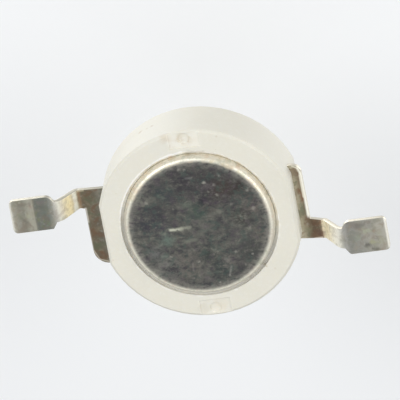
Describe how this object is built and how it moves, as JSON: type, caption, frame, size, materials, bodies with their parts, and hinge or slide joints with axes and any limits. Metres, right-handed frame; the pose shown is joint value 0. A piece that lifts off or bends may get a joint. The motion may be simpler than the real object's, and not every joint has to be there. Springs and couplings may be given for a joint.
{
  "type": "high-power led emitter",
  "caption": "High-power light emitter: round moulded body around a metal heat slug, flat gull-wing solder leads on opposite sides and a clear domed lens over the chip.",
  "frame": {"origin": "centre of the heat slug's face, in the plane that the part stands on", "axes": "+Z along the optical axis from the slug's face to the lens, +X along the leads from the anode pad to the cathode pad, +Y square to both, on the side of the cathode's neck"},
  "size_m": [0.0144, 0.008, 0.0052],
  "materials": {
    "housing": "moulded, satin, off-white",
    "heat_slug": "plated, dull, finely pitted and scratched",
    "leads": "plated sheet, satin, slightly tarnished",
    "die_attach": "silver-filled adhesive",
    "led_die": "polished chip",
    "bond_wires": "bright gold wire",
    "phosphor": "cast silicone with yellow powder",
    "encapsulant": "clear soft gel",
    "lens": "clear polished moulding"
  },
  "bodies": {
    "root": {"housing": "housing", "heat_slug": "heat_slug", "anode_lead": "leads", "cathode_lead": "leads", "die_attach": "die_attach", "led_die": "led_die", "anode_wires": "bond_wires", "cathode_wires": "bond_wires", "phosphor": "phosphor", "encapsulant": "encapsulant", "lens": "lens"}
  },
  "joints": []
}
